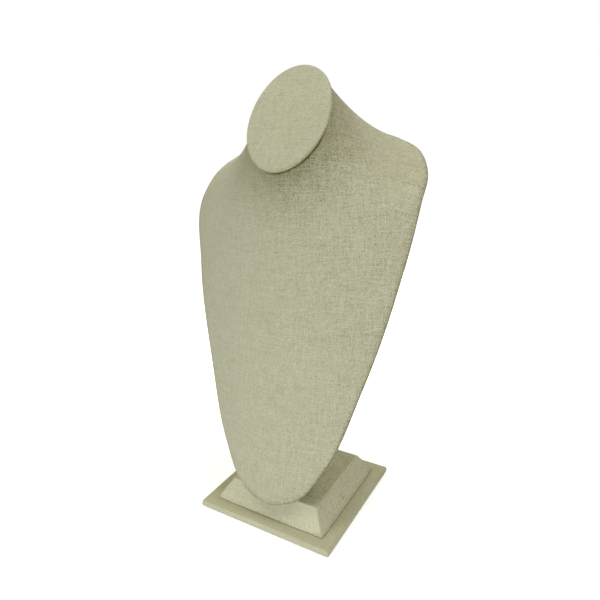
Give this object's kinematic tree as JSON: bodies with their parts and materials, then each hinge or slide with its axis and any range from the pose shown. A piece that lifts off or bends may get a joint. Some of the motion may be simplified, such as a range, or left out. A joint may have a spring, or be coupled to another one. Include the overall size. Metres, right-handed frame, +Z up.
{
  "type": "necklace stand",
  "caption": "Tall bust-shaped necklace stand covered in greenish-beige linen, with an oval cap on its neck and a small stepped square foot.",
  "frame": {"origin": "on the table, under the middle of the foot", "axes": "+Z up, -Y the way the bust faces, +X to the bust's left hand, which is to the right when it is seen from the front"},
  "size_m": [0.2214, 0.142, 0.4097],
  "materials": {
    "linen": "coarse plain weave, matte",
    "felt": "short felt, matte",
    "wood": "plain sawn, unfinished",
    "shell": "moulded, matte",
    "steel": "zinc plated"
  },
  "bodies": {
    "root": {"base_felt": "felt", "base_board": "wood", "base_linen": "linen", "block_board": "wood", "block_linen": "linen", "block_screws": "steel", "post_core": "wood", "post_linen": "linen", "post_screws": "steel", "bust_screws": "steel", "bust_shell": "shell", "bust_linen": "linen", "bust_lining": "linen", "neck_board": "wood", "neck_linen": "linen"}
  },
  "joints": []
}
